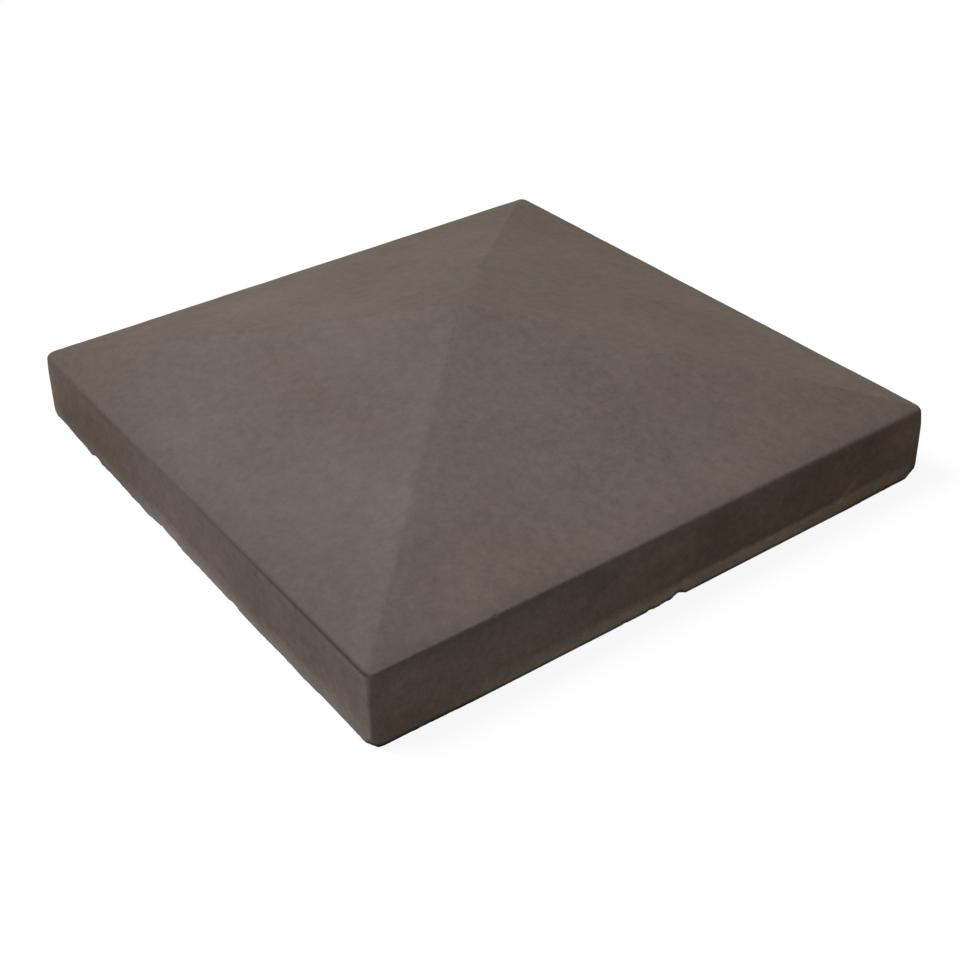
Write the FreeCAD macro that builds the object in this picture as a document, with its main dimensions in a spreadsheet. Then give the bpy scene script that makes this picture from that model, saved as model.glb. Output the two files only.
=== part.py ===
import FreeCAD, Part
import os
import Sketcher

# Square pier cap, cast upside down in one piece of concrete: a shallow drafted
# edge under a low top that falls away to all four sides.
# Millimetres, +Z up, origin at the middle of the flat underside.

DRIVING_SIZES = [
    ("cap_width", 400.0, "side of the square underside"),
    ("edge_height", 49.0, "underside to the rim where the slopes begin"),
    ("top_rise", 54.0, "rim to the blunt tip"),
    ("mould_draft", 1.0, "lean of each side, inwards from underside to rim"),
    ("corner_radius", 4.0, "upright corners at the underside"),
    ("tip_width", 8.0, "blunt tip where the four slopes meet"),
    ("hip_radius", 4.0, "rounding of the hips and of the tip they run into"),
    ("rim_radius", 3.0, "arris between the sides and the slopes"),
    ("bed_radius", 1.5, "worn arris round the underside"),
]
LEVEL_TOLERANCE = 1e-4

document = FreeCAD.newDocument("pier_cap")
sheet = document.addObject("Spreadsheet::Sheet", "sizes")
for row, (alias, value, meaning) in enumerate(DRIVING_SIZES, start=1):
    sheet.set(f"A{row}", alias)
    sheet.set(f"B{row}", str(value))
    sheet.set(f"C{row}", meaning)
    sheet.setAlias(f"B{row}", alias)
document.recompute()

half_width = sheet.cap_width / 2
rim_half = half_width - sheet.mould_draft
tip_half = sheet.tip_width / 2
tip_height = sheet.edge_height + sheet.top_rise

body = document.addObject("PartDesign::Body", "pier_cap")
body.Label = "pier_cap"
body.Placement = FreeCAD.Placement()


def origin_feature(role):
    return next(item for item in body.Origin.OriginFeatures if item.Role == role)


def add_sketch(name, plane, corners):
    """Closed outline of straight lines through the corners, joined end to end."""
    sketch = body.newObject("Sketcher::SketchObject", name)
    sketch.AttachmentSupport = [(origin_feature(plane), "")]
    sketch.MapMode = "FlatFace"
    points = [FreeCAD.Vector(across, along, 0) for across, along in corners]
    for start, end in zip(points, points[1:] + points[:1]):
        sketch.addGeometry(Part.LineSegment(start, end))
    for line in range(len(points)):
        following = (line + 1) % len(points)
        sketch.addConstraint(Sketcher.Constraint("Coincident", line, 2, following, 1))
    return sketch


def bind(sketch, constraint, expression):
    index = sketch.addConstraint(constraint)
    sketch.setExpression(f"Constraints[{index}]", expression)


def same_level(first, second):
    return abs(first - second) < LEVEL_TOLERANCE


def edge_names(feature, highest, lowest=None):
    """The edges that reach up to one level and, where it is given, down to another."""
    names = []
    for number, edge in enumerate(feature.Shape.Edges, start=1):
        box = edge.BoundBox
        if same_level(box.ZMax, highest) and (lowest is None or same_level(box.ZMin, lowest)):
            names.append(f"Edge{number}")
    return names


def add_fillet(name, base, edges, radius):
    fillet = body.newObject("PartDesign::Fillet", name)
    fillet.Base = (base, edges)
    fillet.setExpression("Radius", radius)
    document.recompute()
    return fillet


# Square underside, padded to the full height of the cap.
underside = add_sketch(
    "underside",
    "XY_Plane",
    [
        (-half_width, -half_width),
        (half_width, -half_width),
        (half_width, half_width),
        (-half_width, half_width),
    ],
)
for line, direction in enumerate(["Horizontal", "Vertical", "Horizontal", "Vertical"]):
    underside.addConstraint(Sketcher.Constraint(direction, line))
underside.addConstraint(Sketcher.Constraint("Equal", 0, 1))
underside.addConstraint(Sketcher.Constraint("Symmetric", 0, 1, 2, 1, -1, 1))
bind(underside, Sketcher.Constraint("DistanceX", 0, 1, 0, 2, sheet.cap_width), "sizes.cap_width")

block = body.newObject("PartDesign::Pad", "block")
block.Profile = underside
block.setExpression("Length", "sizes.edge_height + sizes.top_rise")
document.recompute()

# Rounded upright corners, and the lean that lets the cap leave its mould.
upright_edges = edge_names(block, tip_height, 0)
upright_corners = add_fillet("upright_corners", block, upright_edges, "sizes.corner_radius")
side_faces = []
for number, face in enumerate(upright_corners.Shape.Faces, start=1):
    if not same_level(face.BoundBox.ZMin, face.BoundBox.ZMax):
        side_faces.append(f"Face{number}")
drafted_sides = body.newObject("PartDesign::Draft", "drafted_sides")
drafted_sides.Base = (upright_corners, side_faces)
drafted_sides.NeutralPlane = (origin_feature("XY_Plane"), [""])
drafted_sides.setExpression("Angle", "atan(sizes.mould_draft / sizes.edge_height)")
document.recompute()

# What lies above one slope. The slope's line starts at a point on the upright
# axis and passes the edge of the tip and the rim on its way out past the side.
steepness = sheet.top_rise / (rim_half - tip_half)
point_height = tip_height + steepness * tip_half
foot_height = point_height - steepness * half_width
waste = add_sketch(
    "waste",
    "XZ_Plane",
    [(0, point_height), (half_width, foot_height), (half_width, point_height)],
)
waste.addConstraint(Sketcher.Constraint("Vertical", 1))
waste.addConstraint(Sketcher.Constraint("Horizontal", 2))
waste.addConstraint(Sketcher.Constraint("PointOnObject", 0, 1, -2))
bind(waste, Sketcher.Constraint("DistanceX", -1, 1, 1, 1, half_width), "sizes.cap_width / 2")
slope_points = [
    (rim_half, "sizes.cap_width / 2 - sizes.mould_draft", sheet.edge_height, "sizes.edge_height"),
    (tip_half, "sizes.tip_width / 2", tip_height, "sizes.edge_height + sizes.top_rise"),
]
for out, out_size, up, up_size in slope_points:
    point = waste.addGeometry(Part.Point(FreeCAD.Vector(out, up, 0)), True)
    bind(waste, Sketcher.Constraint("DistanceX", -1, 1, point, 1, out), out_size)
    bind(waste, Sketcher.Constraint("DistanceY", -1, 1, point, 1, up), up_size)
    waste.addConstraint(Sketcher.Constraint("PointOnObject", point, 1, 0))

slope = body.newObject("PartDesign::Pocket", "slope")
slope.Profile = waste
slope.Type = "ThroughAll"
slope.SideType = "Symmetric"
document.recompute()

weathered_top = body.newObject("PartDesign::PolarPattern", "weathered_top")
weathered_top.Originals = [slope]
weathered_top.Axis = (origin_feature("Z_Axis"), [""])
weathered_top.Angle = 360
weathered_top.Occurrences = 4
body.Tip = weathered_top
document.recompute()

# The hips and the edges of the tip are rounded together, which leaves the rim a
# smooth closed line. Its arris is no rounder than the corners that it turns.
hips = add_fillet("hips", weathered_top, edge_names(weathered_top, tip_height), "sizes.hip_radius")
rim_edges = edge_names(hips, sheet.edge_height, sheet.edge_height)
rim_arris = add_fillet(
    "rim_arris", hips, rim_edges, "min(sizes.rim_radius; sizes.corner_radius - sizes.mould_draft)"
)
bed_arris = add_fillet("bed_arris", rim_arris, edge_names(rim_arris, 0), "sizes.bed_radius")

for item in document.Objects:
    if "Invalid" in item.State or "Error" in item.State:
        raise RuntimeError(f"{item.Label} failed: {item.State}")
shape = body.Shape
if shape.isNull() or not shape.isValid() or len(shape.Solids) != 1:
    raise RuntimeError("pier_cap is not one valid solid")

os.makedirs("parts", exist_ok=True)
shape.exportStep(f"parts/{body.Label}.step")
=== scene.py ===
import math

import bpy
from mathutils import Matrix, Vector


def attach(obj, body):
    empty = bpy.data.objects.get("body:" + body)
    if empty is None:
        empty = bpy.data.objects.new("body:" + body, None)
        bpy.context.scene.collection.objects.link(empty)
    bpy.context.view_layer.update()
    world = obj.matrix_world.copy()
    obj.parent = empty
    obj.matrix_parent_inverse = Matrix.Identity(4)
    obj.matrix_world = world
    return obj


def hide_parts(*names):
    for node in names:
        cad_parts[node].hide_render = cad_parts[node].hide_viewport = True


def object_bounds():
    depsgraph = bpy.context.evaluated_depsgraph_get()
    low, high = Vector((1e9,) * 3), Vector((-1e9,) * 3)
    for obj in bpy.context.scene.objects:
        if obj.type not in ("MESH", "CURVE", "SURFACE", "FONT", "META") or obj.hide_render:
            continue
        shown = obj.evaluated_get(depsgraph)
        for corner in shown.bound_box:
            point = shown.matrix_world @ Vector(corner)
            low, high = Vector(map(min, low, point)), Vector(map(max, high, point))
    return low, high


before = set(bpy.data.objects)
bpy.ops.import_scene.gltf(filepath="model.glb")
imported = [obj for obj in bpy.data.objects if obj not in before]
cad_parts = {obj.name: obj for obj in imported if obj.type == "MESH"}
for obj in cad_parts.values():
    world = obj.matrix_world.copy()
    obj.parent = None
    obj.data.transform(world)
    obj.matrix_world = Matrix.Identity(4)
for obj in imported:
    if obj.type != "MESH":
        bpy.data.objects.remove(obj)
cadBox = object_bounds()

print("frame loaded, box", [tuple(round(v, 4) for v in corner) for corner in cadBox])


# Small helpers for building node trees

class Field:
    # a socket that can be used in plain sums; each sum adds a Math node
    def __init__(self, tree, socket):
        self.tree = tree
        self.socket = socket

    def __add__(self, other):
        return calc(self.tree, "ADD", self, other)

    def __radd__(self, other):
        return calc(self.tree, "ADD", other, self)

    def __sub__(self, other):
        return calc(self.tree, "SUBTRACT", self, other)

    def __rsub__(self, other):
        return calc(self.tree, "SUBTRACT", other, self)

    def __mul__(self, other):
        return calc(self.tree, "MULTIPLY", self, other)

    def __rmul__(self, other):
        return calc(self.tree, "MULTIPLY", other, self)

    def __truediv__(self, other):
        return calc(self.tree, "DIVIDE", self, other)

    def __pow__(self, other):
        return calc(self.tree, "POWER", self, other)

    def of(self, operation, *others):
        return calc(self.tree, operation, self, *others)

    def clamped(self, low=0.0, high=1.0):
        return self.of("MAXIMUM", low).of("MINIMUM", high)

    def along(self, start, end):
        return ((self - start) / (end - start)).clamped()  # 0 before start, 1 past end

    def eased(self):
        return self * self * (3.0 - 2.0 * self)  # 0 to 1 with soft ends

    def mixed(self, first, second):
        return first + (second - first) * self


def feed(tree, socket, value):
    if isinstance(value, Field):
        tree.links.new(value.socket, socket)
    elif isinstance(value, bpy.types.NodeSocket):
        tree.links.new(value, socket)
    elif value is not None:
        socket.default_value = value


def place(tree, kind, inputs=None, **settings):
    node = tree.nodes.new(kind)
    for name, value in settings.items():
        setattr(node, name, value)
    for name, value in (inputs or {}).items():
        feed(tree, node.inputs[name], value)
    return node


def calc(tree, operation, *values):
    node = place(tree, "ShaderNodeMath", operation=operation)
    for socket, value in zip(node.inputs, values):
        feed(tree, socket, value)
    return Field(tree, node.outputs[0])


def vectorCalc(tree, operation, *values):
    node = place(tree, "ShaderNodeVectorMath", operation=operation)
    for socket, value in zip(node.inputs, values):
        feed(tree, socket, value)
    return Field(tree, node.outputs[0])


def scaledVector(tree, vector, factor):
    node = place(tree, "ShaderNodeVectorMath", {"Vector": vector, "Scale": factor}, operation="SCALE")
    return Field(tree, node.outputs[0])


def lengthOf(tree, vector):
    node = place(tree, "ShaderNodeVectorMath", {0: vector}, operation="LENGTH")
    return Field(tree, node.outputs["Value"])


def split(tree, vector):
    node = place(tree, "ShaderNodeSeparateXYZ", {0: vector})
    return [Field(tree, socket) for socket in node.outputs]


def joined(tree, x, y, z):
    return Field(tree, place(tree, "ShaderNodeCombineXYZ", {0: x, 1: y, 2: z}).outputs[0])


def noise(tree, vector, scale, detail=2.0, roughness=0.5, seed=0.0, distortion=0.0):
    node = place(
        tree,
        "ShaderNodeTexNoise",
        {
            "Vector": vector,
            "W": seed,
            "Scale": scale,
            "Detail": detail,
            "Roughness": roughness,
            "Distortion": distortion,
        },
        noise_dimensions="4D",
    )
    return Field(tree, node.outputs[0])


def bell(distance):
    return (distance * distance * -1.0).of("EXPONENT")   # 1 at no distance, soft to 0


def outwardOf(x, y):
    return x.of("ABSOLUTE").of("MAXIMUM", y.of("ABSOLUTE"))   # the half width of the square through a point


def addGroup(tree, kind, group, inputs):
    node = place(tree, kind)
    node.node_tree = group
    for name, value in inputs.items():
        feed(tree, node.inputs[name], value)
    return node


def noteValue(tree, geometry, name, value):
    node = place(
        tree,
        "GeometryNodeStoreNamedAttribute",
        {"Geometry": geometry, "Name": name, "Value": value},
        data_type="FLOAT",
        domain="POINT",
    )
    return node.outputs[0]


def newTree(name, kind, inputs, outputs):
    tree = bpy.data.node_groups.new(name, kind)
    for label, socketType in inputs:
        tree.interface.new_socket(name=label, in_out="INPUT", socket_type="NodeSocket" + socketType)
    for label, socketType in outputs:
        tree.interface.new_socket(name=label, in_out="OUTPUT", socket_type="NodeSocket" + socketType)
    start = tree.nodes.new("NodeGroupInput")
    end = tree.nodes.new("NodeGroupOutput")
    given = {socket.name: Field(tree, socket) for socket in start.outputs if socket.name}
    return tree, given, end


def setInputs(modifier, values):
    for item in modifier.node_group.interface.items_tree:
        if item.item_type == "SOCKET" and item.in_out == "INPUT" and item.name in values:
            modifier[item.identifier] = values[item.name]


# The casting: loops of a rounded square, one above another, from the middle of
# the underside out to its arris, up the drafted side, over the rim and up the
# slopes to the tip.

castValues = {
    "Half Width": cadBox[1].x,
    "Tip Height": cadBox[1].z,
    "Edge Height": 0.049,
    "Draft": 0.0204,         # width that a side loses for each height
    "Corner Radius": 0.0028,
    "Hip Radius": 0.0009,    # hips seen from above
    "Bed Radius": 0.0004,
    "Tip Easing": 0.004,
    "Waviness": 0.00025,
    "Arris Wear": 0.0001,
    "Rim Wear": 0.0002,
    "Seed": 4.0,
}
castRows = {"underside": 8, "bed": 6, "side": 24, "rim": 6, "slope": 34}
castColumns = 1200
castCrowding = 0.2   # share by which the columns draw together towards the corners
poleRadius = 0.001   # the small fans that close the loops at the tip and below
struckFrom = {"normal": -0.85, "height": 0.0012}   # faces turned down and as low as this are the bed
castShaping = {
    "underCrowding": 2.5,          # loops draw together towards the arris, below
    "sideCrowding": 1.6,           # and on the sides
    "rimTightening": 0.3,          # share of the turn from worn corner to hip made over the rim
    "tightened": (0.0, 0.10),      # stretch of the slope on which the rest is made
    "hipGrowth": 2.0,              # the hips get rounder near the tip
    "hipGrowing": (0.6, 0.95),
    "strayStart": (0.0, 0.08),     # stretches on which a hip leaves the diagonal and comes back
    "strayEnd": (0.7, 1.0),
}
wearForm = {
    "bowScale": 9.0,               # sizes of the waviness, of rubbed places and of nibbles
    "rubScale": 38.0,
    "nibbleScale": 170.0,
    "rubbed": (0.38, 0.75),        # parts of the noise that show
    "nibbled": (0.42, 0.80),
    "nibbleShare": 0.6,
    "bowFrom": 0.004,              # height at which the waviness is at full strength
    "arrisReach": 0.006,
    "rimReach": 0.004,
    "rimInside": (0.008, 0.004),   # how far inside the half width the rim's wear starts and ends
}

# Each corner is a little out of true. The hip strays from the diagonal, low down and high
# up, to its left seen from the tip, and the rim corner shifts. The rim's radius, and the
# radius in plan that a corner is worn to at its foot and shoulder, run from one to the next.
corners = [
    {
        "at": (-1, -1), "hip": (-0.0011, 0.0009), "shift": (-0.0003, -0.0004),
        "rim": 0.0016, "foot": 0.0100, "shoulder": 0.0060,
    },
    {
        "at": (-1, 1), "hip": (0.0022, 0.0022), "shift": (0.0004, -0.0004),
        "rim": 0.0045, "foot": 0.0050, "shoulder": 0.0050,
    },
    {
        "at": (1, 1), "hip": (0.0023, 0.0023), "shift": (-0.0010, 0.0007),
        "rim": 0.0035, "foot": 0.0050, "shoulder": 0.0050,
    },
    {
        "at": (1, -1), "hip": (0.0008, 0.0008), "shift": (0.0002, -0.0005),
        "rim": 0.0040, "foot": 0.0060, "shoulder": 0.0055,
    },
]
wornHeights = {"foot": 0.009, "shoulder": 0.014}   # how far up and down that wear reaches

# Chips along the lower arris of each side: place along it, half length and height
arrisChips = {
    "front": [
        (0.0022, 0.0058, 0.0025),
        (-0.0060, 0.0100, 0.0012),
        (-0.0190, 0.0035, 0.0013),
        (-0.0370, 0.0040, 0.0010),
        (-0.1900, 0.0750, 0.0014),
        (0.1800, 0.0600, 0.0012),
    ],
    "left": [
        (0.1830, 0.0280, 0.0034),
        (0.1600, 0.0250, 0.0024),
        (0.1300, 0.0095, 0.0028),
        (0.1070, 0.0480, 0.0018),
        (0.0680, 0.0150, 0.0013),
        (0.0340, 0.0110, 0.0026),
        (0.0310, 0.0280, 0.0022),
        (-0.0200, 0.0750, 0.0012),
        (-0.0545, 0.0080, 0.0018),
        (-0.1150, 0.0450, 0.0013),
        (-0.1520, 0.0080, 0.0022),
        (-0.1700, 0.0550, 0.0020),
        (-0.1975, 0.0070, 0.0025),
    ],
    "back": [
        (0.0900, 0.0090, 0.0018),
        (-0.1250, 0.0060, 0.0014),
    ],
    "right": [
        (-0.0600, 0.0080, 0.0016),
        (0.1400, 0.0110, 0.0015),
    ],
}
# Corners knocked off below, and a nick in the front rim: where and half sizes
cornerChips = [
    {"at": (0.2025, -0.2025, -0.0010), "size": (0.0128, 0.0095, 0.0068)},
    {"at": (-0.2030, 0.2030, -0.0010), "size": (0.0110, 0.0110, 0.0085)},
    {"at": (-0.1230, -0.2000, 0.0492), "size": (0.0022, 0.0021, 0.0017)},
]
chipValues = {"Roughness": 0.3, "Band": 0.0030}   # ragged edge, and width of the line of painted shade beside it
chipForm = {
    "outside": 0.003,    # how far outside the side the middle of a chip lies
    "below": 0.001,      # how far below the bed
    "depthGain": 1.6,    # growth of its depth and height with the lift
    "heightGain": 1.1,
    "gritScale": 220.0,
    "lineCore": 0.3,     # share of the line beside it that is at full strength
    "leastReach": 0.05,  # keeps the sums away from the very middle
}


def chipShapes():
    shapes = [{**chip, "push": (1.0, 1.0, 1.0)} for chip in cornerChips]
    out = cadBox[1].x + chipForm["outside"]
    under = -chipForm["below"]
    for side, chips in arrisChips.items():
        sign = -1.0 if side in ("front", "left") else 1.0
        for along, half, lift in chips:
            deep = chipForm["outside"] + chipForm["depthGain"] * lift
            tall = chipForm["below"] + chipForm["heightGain"] * lift
            if side in ("front", "back"):
                at = (along, sign * out, under)
                size = (half, deep, tall)
                push = (0.0, 1.0, 1.0)   # in and up, never along the side
            else:
                at = (sign * out, along, under)
                size = (deep, half, tall)
                push = (1.0, 0.0, 1.0)
            shapes.append({"at": at, "size": size, "push": push})
    return shapes


def makeChipTree():
    tree, given, end = newTree(
        "edgeChip",
        "GeometryNodeTree",
        [
            ("Geometry", "Geometry"),
            ("Centre", "Vector"),
            ("Size", "Vector"),
            ("Push", "Vector"),
            ("Roughness", "Float"),
            ("Band", "Float"),
        ],
        [("Geometry", "Geometry")],
    )
    position = Field(tree, place(tree, "GeometryNodeInputPosition").outputs[0])
    grit = noise(tree, position, chipForm["gritScale"], detail=3.0, roughness=0.6)
    offset = vectorCalc(tree, "SUBTRACT", position, given["Centre"])
    share = vectorCalc(tree, "DIVIDE", offset, given["Size"])
    reach = lengthOf(tree, vectorCalc(tree, "MULTIPLY", share, given["Push"]))
    aside = lengthOf(tree, share) ** 2.0 - reach ** 2.0
    edge = 1.0 + (grit - 0.5) * given["Roughness"]
    room = (edge * edge - aside).of("MAXIMUM", 0.0).of("SQRT")   # the chip's section at this place
    inside = reach.of("LESS_THAN", room)
    growth = room / reach.of("MAXIMUM", chipForm["leastReach"]) - 1.0
    across = vectorCalc(tree, "MULTIPLY", offset, given["Push"])
    beyond = lengthOf(tree, across) * growth * -1.0
    beside = 1.0 - beyond.along(given["Band"] * chipForm["lineCore"], given["Band"])
    landed = vectorCalc(tree, "ADD", position, scaledVector(tree, across, growth))
    earlier = place(tree, "GeometryNodeInputNamedAttribute", {"Name": "broken"}, data_type="FLOAT")
    broken = Field(tree, earlier.outputs[0]).of("MAXIMUM", beside)
    marked = noteValue(tree, given["Geometry"], "broken", broken)
    moved = place(
        tree, "GeometryNodeSetPosition", {"Geometry": marked, "Selection": inside, "Position": landed}
    )
    feed(tree, end.inputs["Geometry"], moved.outputs[0])
    return tree


def makeCastTree(chipTree):
    tree, given, end = newTree(
        "castForm",
        "GeometryNodeTree",
        [(name, "Float") for name in castValues] + [("Fair Face", "Material"), ("Struck Face", "Material")],
        [("Geometry", "Geometry")],
    )
    halfWidth = given["Half Width"]
    draft = given["Draft"]
    bed = given["Bed Radius"]
    easing = given["Tip Easing"]

    rows = sum(castRows.values())
    tube = place(
        tree,
        "GeometryNodeMeshCylinder",
        {"Vertices": castColumns, "Side Segments": rows, "Radius": 1.0, "Depth": 1.0},
        fill_type="TRIANGLE_FAN",
    )
    startX, startY, startZ = split(tree, place(tree, "GeometryNodeInputPosition").outputs[0])
    onWall = (startX * startX + startY * startY).of("GREATER_THAN", 0.5)   # 0 at the two poles

    # around the square: each side runs from -1 to 1, closer set near the corners
    walk = (startY.of("ARCTAN2", startX) / math.pi + 1.0) * 4.0
    acrossX = (walk.of("PINGPONG", 4.0) - 2.0).clamped(-1.0, 1.0)
    acrossY = ((walk - 2.0).of("PINGPONG", 4.0) - 2.0).clamped(-1.0, 1.0)
    crowdX = acrossX * (1.0 + castCrowding * (1.0 - acrossX * acrossX))
    crowdY = acrossY * (1.0 + castCrowding * (1.0 - acrossY * acrossY))

    # each corner's share of a point, and the radii that follow from the shares
    shares = []
    rim = footRound = shoulderRound = 0.0
    for corner in corners:
        signX, signY = corner["at"]
        shares.append((1.0 + crowdX * signX) * (1.0 + crowdY * signY) * 0.25)
        rim = shares[-1] * corner["rim"] + rim
        footRound = shares[-1] * corner["foot"] + footRound
        shoulderRound = shares[-1] * corner["shoulder"] + shoulderRound

    # up the section: how far along each stretch a loop lies
    station = startZ + 0.5
    stretch = {}
    passed = 0
    for name, count in castRows.items():
        stretch[name] = station.along(passed / rows, (passed + count) / rows)
        passed += count

    # lines of the section, and the rim where side and slope would meet
    rimHalf = halfWidth - draft * (given["Edge Height"] - bed)
    steepness = (given["Tip Height"] - given["Edge Height"]) / (rimHalf - easing)
    lean = draft.of("ARCTANGENT")
    pitch = steepness.of("ARCTANGENT")
    turn = math.pi / 2 - pitch - lean
    cutBack = rim * (turn / 2.0).of("TANGENT")
    sideTop = given["Edge Height"] - cutBack * lean.of("COSINE")

    bedTurn = stretch["bed"] * (math.pi / 2)
    climb = (sideTop - bed) * (stretch["side"] ** castShaping["sideCrowding"])
    rimTurn = lean + stretch["rim"] * turn
    inwards = (1.0 - stretch["underside"]) ** castShaping["underCrowding"]
    flatOut = (halfWidth - bed - poleRadius) * (1.0 - inwards)
    atRim = (
        poleRadius
        + flatOut
        + bed * bedTurn.of("SINE")
        - draft * climb
        + rim * (rimTurn.of("COSINE") - lean.of("COSINE"))
    )
    radius = stretch["slope"].mixed(atRim, poleRadius) * onWall
    rise = steepness * (
        (atRim * atRim + easing * easing).of("SQRT") - (radius * radius + easing * easing).of("SQRT")
    )
    onTop = stretch["rim"].of("GREATER_THAN", 0.0)
    height = (
        bed * (1.0 - bedTurn.of("COSINE"))
        + climb
        + rim * (rimTurn.of("SINE") - lean.of("SINE"))
        + rise * onTop
    )

    # one loop: a square with rounded corners, rounder at foot and shoulder, which tighten
    # to the hips above the rim
    worn = height.along(0.0, wornHeights["foot"]).eased().mixed(footRound, given["Corner Radius"])
    shoulder = height.along(given["Edge Height"] - wornHeights["shoulder"], given["Edge Height"]).eased()
    overRim = castShaping["rimTightening"]
    onSlope = stretch["slope"].along(*castShaping["tightened"])
    tightening = (stretch["rim"] * overRim + onSlope * (1.0 - overRim)).eased()
    hipGrowth = castShaping["hipGrowth"] * stretch["slope"].along(*castShaping["hipGrowing"])
    hipRound = given["Hip Radius"] * (1.0 + hipGrowth)
    rounding = tightening.mixed(shoulder.mixed(worn, shoulderRound), hipRound)
    rounding = rounding.of("MINIMUM", radius * 0.5)
    inner = radius - rounding
    outX = crowdX * radius
    outY = crowdY * radius
    coreX = outX.of("MINIMUM", inner).of("MAXIMUM", inner * -1.0)
    coreY = outY.of("MINIMUM", inner).of("MAXIMUM", inner * -1.0)
    away = vectorCalc(tree, "NORMALIZE", joined(tree, outX - coreX, outY - coreY, 0.0))
    landed = vectorCalc(
        tree, "ADD", joined(tree, coreX, coreY, height), scaledVector(tree, away, rounding)
    )

    # the hips wander off the diagonals between rim and tip, and the rim corners shift
    leaving = stretch["slope"].along(*castShaping["strayStart"]).eased()
    straying = leaving * (1.0 - stretch["slope"].along(*castShaping["strayEnd"]))
    lifted = (height / given["Edge Height"]).clamped() * radius / halfWidth
    for corner, share in zip(corners, shares):
        signX, signY = corner["at"]
        shiftX, shiftY = corner["shift"]
        stray = stretch["slope"].mixed(*corner["hip"]) * math.sqrt(0.5)
        aside = (share.along(0.25, 1.0) ** 2.0) * straying * stray
        pull = share * lifted
        moved = joined(tree, pull * shiftX - aside * signY, pull * shiftY + aside * signX, 0.0)
        landed = vectorCalc(tree, "ADD", landed, moved)

    # kept for the finish: how far a point lies from the nearest hip, front and back below zero
    hipGap = (crowdX.of("ABSOLUTE") - crowdY.of("ABSOLUTE")) * radius * math.sqrt(0.5)
    noted = noteValue(tree, tube.outputs["Mesh"], "hipGap", hipGap)
    formed = place(tree, "GeometryNodeSetPosition", {"Geometry": noted, "Position": landed})

    # faces a little out of true, and a lower arris that is rubbed unevenly
    position = Field(tree, place(tree, "GeometryNodeInputPosition").outputs[0])
    normal = Field(tree, place(tree, "GeometryNodeInputNormal").outputs[0])
    x, y, z = split(tree, position)
    outward = outwardOf(x, y)
    aboveBed = z.along(0.0, wearForm["bowFrom"])
    wave = noise(tree, position, wearForm["bowScale"], detail=3.0, seed=given["Seed"])
    bow = wave * given["Waviness"] * aboveBed
    reach = wearForm["arrisReach"]
    nearArris = (1.0 - z.along(0.0, reach)) * outward.along(halfWidth - reach, halfWidth)
    rubbing = noise(tree, position, wearForm["rubScale"], detail=2.0, seed=given["Seed"] + 3.0)
    nibbling = noise(tree, position, wearForm["nibbleScale"], detail=2.0, seed=given["Seed"] + 7.0)
    rough = rubbing.along(*wearForm["rubbed"])
    rough = rough + nibbling.along(*wearForm["nibbled"]) * wearForm["nibbleShare"]
    rimStart, rimEnd = wearForm["rimInside"]
    nearRim = bell((z - given["Edge Height"]) / wearForm["rimReach"])
    nearRim = nearRim * outward.along(halfWidth - rimStart, halfWidth - rimEnd)
    wear = (nearArris * given["Arris Wear"] + nearRim * given["Rim Wear"]) * rough
    settled = place(
        tree,
        "GeometryNodeSetPosition",
        {"Geometry": formed.outputs[0], "Offset": scaledVector(tree, normal, (bow + wear) * -1.0)},
    )

    geometry = settled.outputs[0]
    for chip in chipShapes():
        bite = addGroup(
            tree,
            "GeometryNodeGroup",
            chipTree,
            {
                "Geometry": geometry,
                "Centre": chip["at"],
                "Size": chip["size"],
                "Push": chip["push"],
                **chipValues,
            },
        )
        geometry = bite.outputs[0]

    smooth = place(tree, "GeometryNodeSetShadeSmooth", {"Geometry": geometry})
    real = place(tree, "GeometryNodeRealizeInstances", {"Geometry": smooth.outputs[0]})
    faced = place(
        tree, "GeometryNodeSetMaterial", {"Geometry": real.outputs[0], "Material": given["Fair Face"]}
    )
    facesDown = split(tree, normal)[2].of("LESS_THAN", struckFrom["normal"])
    facesDown = facesDown * z.of("LESS_THAN", struckFrom["height"])
    struck = place(
        tree,
        "GeometryNodeSetMaterial",
        {"Geometry": faced.outputs[0], "Selection": facesDown, "Material": given["Struck Face"]},
    )
    feed(tree, end.inputs["Geometry"], struck.outputs[0])
    return tree


def makeCap(fairFace, struckFace):
    holder = bpy.data.objects.new("cap", bpy.data.meshes.new("capStart"))
    bpy.context.scene.collection.objects.link(holder)
    modifier = holder.modifiers.new("castForm", "NODES")
    modifier.node_group = makeCastTree(makeChipTree())
    setInputs(modifier, {**castValues, "Fair Face": fairFace, "Struck Face": struckFace})
    graph = bpy.context.evaluated_depsgraph_get()
    mesh = bpy.data.meshes.new_from_object(holder.evaluated_get(graph), depsgraph=graph)
    holder.modifiers.remove(modifier)
    holder.data = mesh
    holder.data.name = "cap"
    triangles = sum(len(polygon.vertices) - 2 for polygon in mesh.polygons)
    print("cap cast:", len(mesh.vertices), "points,", triangles, "triangles")
    return holder


# Concrete: one mix, seen on the mould-faced top and sides and on the struck bed

concreteValues = {
    "Warm": (0.1517, 0.1217, 0.0975, 1.0),
    "Cool": (0.1442, 0.1217, 0.1098, 1.0),
    "Cloud": 0.42,
    "Grain": 0.76,
    "Creases": 0.05,
    "Pores": 0.12,
}
mixScales = {"cloud": 12.0, "grain": 150.0, "hue": 60.0, "lines": 170.0, "gaps": 75.0, "pores": 150.0}
mixForm = {
    "hueSwing": 0.7,         # how far the tint strays to warm and cool
    "gaps": (0.48, 0.60),    # parts of the noise where the dark lines show
    "lineWidth": 0.05,
    "poreDepth": (0.6, 1.0),
    "poreWidth": (0.04, 0.20),
    "poreRelief": 0.3,       # depth of pores and lines beside that of the grain
    "lineRelief": 0.1,
}

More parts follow.
